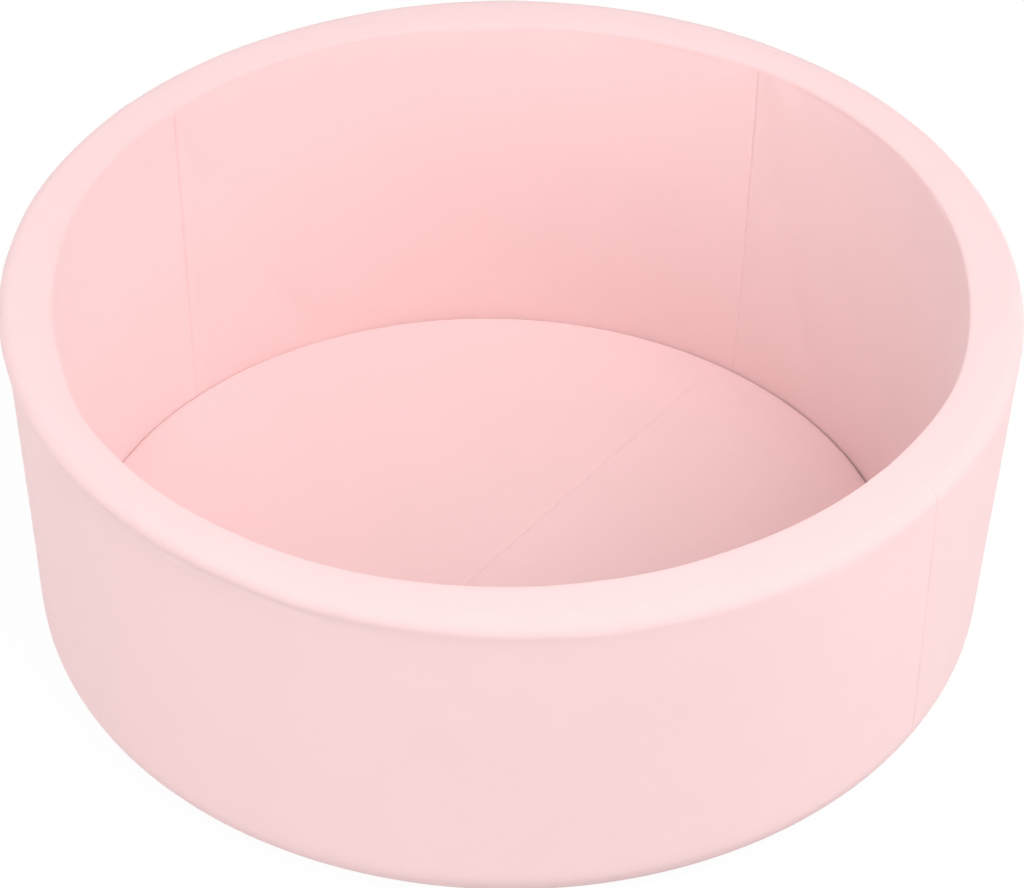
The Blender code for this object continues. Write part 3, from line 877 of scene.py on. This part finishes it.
class PIT_OT_floor_covers(Operator):
    """Sews the floor's round cover from two halves, and stuffs them"""
    bl_idname = "ball_pit.floor_covers"
    bl_label = "Floor covers"

    def execute(self, context):
        cloth = context.scene.pit_cloth
        seam_share, seam_start, seam_fade, seam_hold = 0.6, 0.012, 0.05, 0.03
        points = floor_rows(cloth.cell, 0)
        radius, _, shift = floor_size()
        edge = len(points) - edge_rows
        along = Vector((cos(floor_seam), sin(floor_seam), 0))

        def drawn(place, run, share, distance):
            return share * seam_draw(distance)

        for name, start, side in (("back", floor_seam, 1), ("front", floor_seam + pi, -1)):
            azimuths = panel_azimuths(start, start + pi, cloth.cell / radius, (0.0, *seam_columns))
            bm, row = start_outline(points, False)
            column = spin_columns(bm, azimuths)
            weld(bm)
            across = Vector((-along.y, along.x, 0)) * side
            for vert in bm.verts:
                vert.co = floor_point(*points[vert[row]], azimuths[vert[column]]) + across * half_gap
            half_way = Vector((across.x * radius / 2 - shift, across.y * radius / 2, floor_high.z))
            face_out(bm, half_way, Vector((0, 0, 1)))
            run, seam, beside = cloth_layers(bm)
            for vert in bm.verts:
                vert[run] = points[min(edge, vert[row])][0]
                from_middle = vert.co + Vector((shift, 0, 0))
                vert[beside] = abs(from_middle.dot(across))
                left = radius - abs(from_middle.dot(along)) - seam_start
                vert[seam] = seam_share * min(1.0, max(0.0, left) / seam_fade)
            lay_uv(bm, lambda loop: (loop.vert.co.dot(along), loop.vert.co.dot(across)))
            held = [1.0 if vert[row] >= edge or vert[beside] < seam_hold else 0.0 for vert in bm.verts]
            piece = sewn_cover("cloth_floor_" + name, bm, held, (-1.0, radius), side, drawn)
            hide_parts("floor_cover_" + name)
            round(2 * radius, 4)
            pi * radius * radius / 2
        return {"FINISHED"}


class PIT_OT_base_cover(Operator):
    """Cuts the round base cover, which lies flat on the ground and turns up to the zip"""
    bl_idname = "ball_pit.base_cover"
    bl_label = "Base cover"

    def execute(self, context):
        shape, cloth = context.scene.pit_shape, context.scene.pit_cloth
        columns, arc_steps = 200, 4
        count = ceil(flat_radius() / cloth.cell)
        points = [(flat_radius() * step / count, 0.0) for step in range(count)]
        points += [spot for spot, _ in bottom_arc(-pi / 2, -base_end_angle(), arc_steps)]
        bm, _ = start_outline(points, False)
        spin_columns(bm, full_turn(columns), True)
        weld(bm)
        face_out(bm, Vector((0, 0, 0)), Vector((0, 0, -1)))
        lay_uv(bm, lambda loop: (loop.vert.co.x, loop.vert.co.y))
        piece = new_piece("cloth_base", bm, cover_cloth())
        add_thickness(piece)
        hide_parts("base_cover")
        reach = flat_radius() + shape.bottom_rounding * (pi / 2 - base_end_angle())
        round(2 * reach, 4)
        round(2 * reach, 4)
        pi * reach * reach
        return {"FINISHED"}


def foam_piece(name, bm):
    cut_edge = radians(50)
    tidy_normals(bm)
    piece = new_piece(name, bm, cream_foam())
    piece.data.set_sharp_from_angle(angle=cut_edge)
    return piece


class PIT_OT_foam(Operator):
    """Cuts the three lengths of wall foam and the floor's foam disc"""
    bl_idname = "ball_pit.foam"
    bl_label = "Foam"

    def execute(self, context):
        cloth = context.scene.pit_cloth
        wall_gap, floor_gap, base_gap, heel_gap = 0.0010, 0.0014, 0.0006, 0.0006
        wall_row, floor_row, arc_steps, floor_columns = 0.030, 0.040, 3, 120
        wall_step, end_column, chamfer = radians(3), 0.006, 0.010
        depth = cloth.thickness + wall_gap
        outline = wall_outline(wall_row)
        shoulder = shoulder_run(outline)
        low = bottom_arc(-pi / 2, -cover_end_angle(), arc_steps)
        bottom = [Place(*spot, *out, 0.0, 0.0, 0.0, 0.0) for spot, out in low[1:-1]]
        heel = Place(floor_size().crease + heel_gap, 0.0, 0.0, -1.0, 0.0, 0.0, 1.0, 0.0)
        places = bottom + outline + [heel]
        for name, start, end in seam_spans():
            azimuths = panel_azimuths(start, end, wall_step, (half_gap, end_column))
            bm, row = start_outline([(place.radius, place.height) for place in places], True)
            bmesh.ops.contextual_create(bm, geom=bm.edges[:])
            column = spin_columns(bm, azimuths)
            for vert in bm.verts:
                place, azimuth = places[vert[row]], azimuths[vert[column]]
                drawn = drawn_in(azimuth, near_seam(azimuth, place.radius), place.run, place.seam, shoulder)
                vert.co = wall_point(place, azimuth, -depth - drawn)
            piece = foam_piece("foam_wall_" + name, bm)
            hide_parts("wall_foam_" + name)

        rows = floor_rows(floor_row, cloth.thickness + floor_gap)
        reach = rows[-1][0]
        bottom = cloth.thickness + base_gap
        points = rows + [(reach, bottom + chamfer), (reach - chamfer, bottom), (0.0, bottom)]
        bm, row = start_outline(points, False)
        azimuths = full_turn(floor_columns)
        column = spin_columns(bm, azimuths, True)
        for vert in bm.verts:
            vert.co = floor_point(*points[vert[row]], azimuths[vert[column]])
        weld(bm)
        piece = foam_piece("foam_floor", bm)
        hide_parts("floor_foam")
        return {"FINISHED"}


def zip_spot(along, across, proud):
    """A point on the zip: along it from azimuth 0, up the pit's side, and out of the cloth."""
    shape, zipper = bpy.context.scene.pit_shape, bpy.context.scene.pit_zip
    azimuth = along / zip_radius()
    angle = zipper.below_level - across / shape.bottom_rounding
    reach = shape.bottom_rounding + proud
    radius = flat_radius() + reach * cos(angle)
    height = shape.bottom_rounding - reach * sin(angle)
    return Vector((radius * cos(azimuth), radius * sin(azimuth), height))


def zip_radius():
    """The pit's radius where the zip's two coils meet."""
    shape, zipper = bpy.context.scene.pit_shape, bpy.context.scene.pit_zip
    return flat_radius() + shape.bottom_rounding * cos(zipper.below_level)


def chain_ends():
    """Where the coils start and end, as lengths along the zip from azimuth 0."""
    zipper = bpy.context.scene.pit_zip
    middle = pi / 2 * zip_radius()
    return middle + zipper.lap_length / 2, middle - zipper.lap_length / 2 + 2 * pi * zip_radius()


# The zip's two halves, and which way each lies from its middle
zip_sides = (("upper", 1), ("lower", -1))


class PIT_OT_zip_tapes(Operator):
    """Weaves the zip's two tapes round the bottom edge"""
    bl_idname = "ball_pit.zip_tapes"
    bl_label = "Zip tapes"

    def execute(self, context):
        zipper = context.scene.pit_zip
        columns, edge_share, face_shares = 360, 0.35, (0.35, 0.7)
        face, back = -zipper.tape_sink, -zipper.tape_sink - zipper.tape_thickness
        round_edge = zipper.tape_thickness * edge_share
        near, far = half_gap, zipper.half_width
        top = [near + round_edge, *(far * share for share in face_shares), far - round_edge]
        outline = [(near, face - round_edge), *((spot, face) for spot in top), (far, face - round_edge),
                   (far, back + round_edge), (far - round_edge, back), (near + round_edge, back),
                   (near, back + round_edge)]
        for name, side in zip_sides:
            spots = [zip_spot(0, side * spot, proud) for spot, proud in outline]
            bm, row = start_outline([(spot.x, spot.z) for spot in spots], True)
            column = spin_columns(bm, full_turn(columns), True)
            tidy_normals(bm)

            def flat_place(loop):
                """The last column's faces meet the first column one whole turn further on."""
                step = loop.vert[column]
                wraps = step == 0 and any(other.vert[column] > columns / 2 for other in loop.face.loops)
                turned = columns if wraps else step
                return turned * 2 * pi * zip_radius() / columns, outline[loop.vert[row]][0]

            lay_uv(bm, flat_place)
            piece = new_piece("tape_" + name, bm, zip_tape())
            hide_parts("zip_tape_" + name)
        return {"FINISHED"}


def bend_strip(bm, start):
    """Bends a strip that was made along +X (Y across the zip, Z out of the cloth) round the zip."""
    for vert in bm.verts:
        vert.co = zip_spot(start + vert.co.x, vert.co.y, vert.co.z)


def double_strip(bm, length, times):
    """Doubles a strip end to end along +X, as often as asked, and joins it where its ends meet."""
    for _ in range(times):
        copy = bmesh.ops.duplicate(bm, geom=bm.verts[:] + bm.edges[:] + bm.faces[:])
        verts = [item for item in copy["geom"] if isinstance(item, bmesh.types.BMVert)]
        bmesh.ops.translate(bm, verts=verts, vec=(length, 0, 0))
        length *= 2
    weld(bm, join_reach)


def close_ends(bm):
    """Caps the open ends of a tube."""
    open_edges = [edge for edge in bm.edges if edge.is_boundary]
    bmesh.ops.holes_fill(bm, edges=open_edges, sides=0)


class PIT_OT_zip_coils(Operator):
    """Winds the zip's two nylon coils, as tubes of wire that interleave"""
    bl_idname = "ball_pit.zip_coils"
    bl_label = "Zip coils"

    def execute(self, context):
        zipper = context.scene.pit_zip
        strip_turns, steps_per_turn, wire_sides = 7, 8, 4
        start, end = chain_ends()
        pitch = (end - start) / (strip_turns * 2 ** zipper.turns_doubled)
        base = 2 * half_gap - zipper.tape_sink
        high = zipper.coil_height / 2 - zipper.wire_radius
        wide = zipper.coil_width / 2 - zipper.wire_radius
        middle = half_gap + zipper.coil_width / 2
        for name, side in zip_sides:
            bm = bmesh.new()
            bmesh.ops.create_circle(bm, cap_ends=False, radius=zipper.wire_radius, segments=wire_sides)
            for axis in ("Y", "Z"):
                turn = Matrix.Rotation(pi / 2, 3, axis)
                bmesh.ops.rotate(bm, verts=bm.verts[:], cent=(0, 0, 0), matrix=turn)
            bmesh.ops.translate(bm, verts=bm.verts[:], vec=(0, 0, high))
            bmesh.ops.spin(bm, geom=bm.verts[:] + bm.edges[:], cent=(0, 0, 0), axis=(1, 0, 0),
                           dvec=(pitch / steps_per_turn, 0, 0), angle=2 * pi * strip_turns,
                           steps=strip_turns * steps_per_turn, use_duplicate=False)
            for vert in bm.verts:
                vert.co.y *= wide / high
            double_strip(bm, strip_turns * pitch, zipper.turns_doubled)
            close_ends(bm)
            tidy_normals(bm)
            for vert in bm.verts:
                vert.co.y = side * (middle + vert.co.y)
                vert.co.z += base + zipper.coil_height / 2
                vert.co.x = min(max(vert.co.x + (pitch / 2 if side > 0 else 0), 0), end - start)
            bend_strip(bm, start)
            if side < 0:
                bmesh.ops.reverse_faces(bm, faces=bm.faces[:])
            piece = new_piece("coil_" + name, bm, zip_nylon())
            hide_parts("zip_coil_" + name)
        return {"FINISHED"}


def dressed_copy(node, name, edge_round, body):
    """A copy of a packed metal piece, with its flat faces merged and its edges rounded."""
    flat_angle, edge_angle, shading_angle = radians(1), radians(35), radians(40)
    bm = bmesh.new()
    bm.from_mesh(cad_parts[node].data)
    weld(bm, join_reach)
    bmesh.ops.dissolve_limit(bm, angle_limit=flat_angle, verts=bm.verts[:], edges=bm.edges[:])
    tidy_normals(bm)
    sharp = [edge for edge in bm.edges
             if len(edge.link_faces) == 2 and edge.calc_face_angle() > edge_angle]
    bmesh.ops.bevel(bm, geom=sharp, offset=edge_round, offset_type="OFFSET", segments=2, profile=0.5,
                    affect="EDGES", clamp_overlap=True, material=-1)
    for layer in list(bm.loops.layers.uv.values()):
        bm.loops.layers.uv.remove(layer)
    piece = new_piece(name, bm, zip_metal(), body)
    piece.data.set_sharp_from_angle(angle=shading_angle)
    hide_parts(node)


class PIT_OT_zip_metal(Operator):
    """Plates the zip's stops, its slider and its pull"""
    bl_idname = "ball_pit.zip_metal"
    bl_label = "Zip metal"

    def execute(self, context):
        stop_round, slider_round, pull_round = 0.0002, 0.00015, 0.00008
        dressed_copy("zip_bottom_stop", "stop_bottom", stop_round, "pit")
        dressed_copy("zip_top_stop_upper", "stop_top_upper", stop_round, "pit")
        dressed_copy("zip_top_stop_lower", "stop_top_lower", stop_round, "pit")
        dressed_copy("zip_slider", "slider", slider_round, "slider")
        dressed_copy("zip_pull", "pull", pull_round, "pull")
        return {"FINISHED"}


def add_aimed(name, data, place, target, roll=0.0):
    """Adds a lamp or camera at a place, looking at a target."""
    thing = bpy.data.objects.new(name, data)
    bpy.context.scene.collection.objects.link(thing)
    way = (Vector(target) - Vector(place)).normalized()
    turn = way.to_track_quat("-Z", "Y").to_matrix().to_4x4()
    thing.matrix_world = Matrix.Translation(place) @ turn @ Matrix.Rotation(roll, 4, "Z")
    return thing


def add_softbox(name, azimuth, elevation, power):
    """A square lamp at an azimuth and elevation in degrees, facing the pit."""
    stage = bpy.context.scene.pit_stage
    aim_height = 0.2
    lamp = bpy.data.lights.new(name + "_softbox", "AREA")
    lamp.shape = "SQUARE"
    lamp.size = stage.lamp_size
    lamp.energy = power
    target = Vector((0, 0, aim_height))
    turn, up = radians(azimuth), radians(elevation)
    way = Vector((cos(up) * cos(turn), cos(up) * sin(turn), sin(up)))
    add_aimed(lamp.name, lamp, target + way * stage.lamp_distance, target)


def seen_or_not(start, unseen, seen, output_kind):
    """Ends a tree: one shader for rays that show the background, so straight from the camera, in gloss
    or through glass, and another for the rays that only carry its light."""
    path = start.tree.nodes.new("ShaderNodeLightPath")
    camera, glossy, through = (Signal(start.tree, path.outputs[name]) for name in
                               ("Is Camera Ray", "Is Glossy Ray", "Is Transmission Ray"))
    shown = camera.math("MAXIMUM", camera, glossy.math("MAXIMUM", glossy, through))
    both = start.node("ShaderNodeMixShader", {}, {0: shown, 1: unseen, 2: seen})
    output = start.tree.nodes.new(output_kind)
    start.tree.links.new(both.socket, output.inputs["Surface"])


class PIT_OT_stage(Operator):
    """Sets up the pale floor, the soft lights, the white surroundings and the camera"""
    bl_idname = "ball_pit.stage"
    bl_label = "Stage"

    def execute(self, context):
        scene, stage = context.scene, context.scene.pit_stage
        ground_reach, ground_drop, sensor_width, far_clip = 9.0, 0.0004, 36.0, 100.0
        scene.view_settings.view_transform = "Standard"

        scene.world = bpy.data.worlds.new("studio")
        scene.world.use_nodes = True
        start = Signal(scene.world.node_tree)
        start.tree.nodes.clear()
        even, white = (start.node("ShaderNodeBackground", {}, {"Color": (1, 1, 1, 1), "Strength": strength})
                       for strength in (stage.ambient, 1.0))
        seen_or_not(start, even, white, "ShaderNodeOutputWorld")

        bm = bmesh.new()
        bmesh.ops.create_grid(bm, x_segments=8, y_segments=8, size=ground_reach)
        bmesh.ops.translate(bm, verts=bm.verts, vec=(0, 0, -ground_drop))
        mesh = bpy.data.meshes.new("studio_floor")
        bm.to_mesh(mesh)
        bm.free()
        mesh.materials.append(ground_material())
        ground = bpy.data.objects.new("studio_floor", mesh)
        scene.collection.objects.link(ground)

        for name, azimuth, elevation, power in (
                ("front", -90, 55, stage.front_power), ("key", -45, 55, stage.key_power),
                ("low_key", -45, 25, stage.low_power), ("side", 0, 30, stage.side_power),
                ("fill", -135, 25, stage.fill_power), ("high_fill", -135, 55, stage.high_power),
                ("left", -165, 10, stage.left_power), ("back", 90, 20, stage.back_power)):
            add_softbox(name, azimuth, elevation, power)

        camera = bpy.data.cameras.new("camera")
        camera.lens = stage.lens
        camera.sensor_width = sensor_width
        camera.clip_end = far_clip
        target = Vector(stage.look_at)
        place = Vector((0, target.y - stage.distance * cos(stage.elevation),
                        target.z + stage.distance * sin(stage.elevation)))
        scene.camera = add_aimed("camera", camera, place, target, stage.roll)
        return {"FINISHED"}


def ground_material():
    """White studio floor: to the eye it is near white, and it keeps the pit's soft shadow."""
    material = bpy.data.materials.new("studio_floor")
    material.use_nodes = True
    start = Signal(material.node_tree)
    start.tree.nodes.clear()
    grain = noise_at(start, start.object_place(), 0.01, 2)
    paint = grain.blend((0.60, 0.60, 0.60, 1), (0.64, 0.64, 0.64, 1))
    matte = start.node("ShaderNodeBsdfDiffuse", {}, {"Color": paint})
    faint = start.node("ShaderNodeBsdfDiffuse", {}, {"Color": (0.045, 0.045, 0.045, 1)})
    glow = start.node("ShaderNodeEmission", {}, {"Color": (1, 1, 1, 1), "Strength": 0.96})
    bright = start.node("ShaderNodeAddShader", {}, {0: faint, 1: glow})
    seen_or_not(start, matte, bright, "ShaderNodeOutputMaterial")
    return material


class PIT_PT_panel(Panel):
    """Lists the pit's sizes, colours and pieces"""
    bl_label = "Ball Pit"
    bl_idname = "PIT_PT_panel"
    bl_space_type = "VIEW_3D"
    bl_region_type = "UI"
    bl_category = "Ball Pit"

    def draw(self, context):
        layout = self.layout
        for group in (context.scene.pit_shape, context.scene.pit_cloth, context.scene.pit_zip,
                      context.scene.pit_stage):
            box = layout.box()
            for key in group.__annotations__:
                box.prop(group, key)
        for operator in operators:
            layout.operator(operator.bl_idname)


groups = {"pit_shape": PitShape, "pit_cloth": PitCloth, "pit_zip": PitZip, "pit_stage": PitStage}
operators = (PIT_OT_wall_covers, PIT_OT_floor_covers, PIT_OT_base_cover, PIT_OT_foam, PIT_OT_zip_tapes,
             PIT_OT_zip_coils, PIT_OT_zip_metal, PIT_OT_stage)


def register():
    for name, group in groups.items():
        bpy.utils.register_class(group)
        setattr(bpy.types.Scene, name, PointerProperty(type=group))
    for kind in (*operators, PIT_PT_panel):
        bpy.utils.register_class(kind)


def unregister():
    for kind in reversed((*operators, PIT_PT_panel)):
        bpy.utils.unregister_class(kind)
    for name, group in groups.items():
        delattr(bpy.types.Scene, name)
        bpy.utils.unregister_class(group)


def main():
    register()
    bpy.ops.ball_pit.stage()
    bpy.ops.ball_pit.foam()
    bpy.ops.ball_pit.wall_covers()
    bpy.ops.ball_pit.floor_covers()
    bpy.ops.ball_pit.base_cover()
    bpy.ops.ball_pit.zip_tapes()
    bpy.ops.ball_pit.zip_coils()
    bpy.ops.ball_pit.zip_metal()


if __name__ == "__main__":
    main()
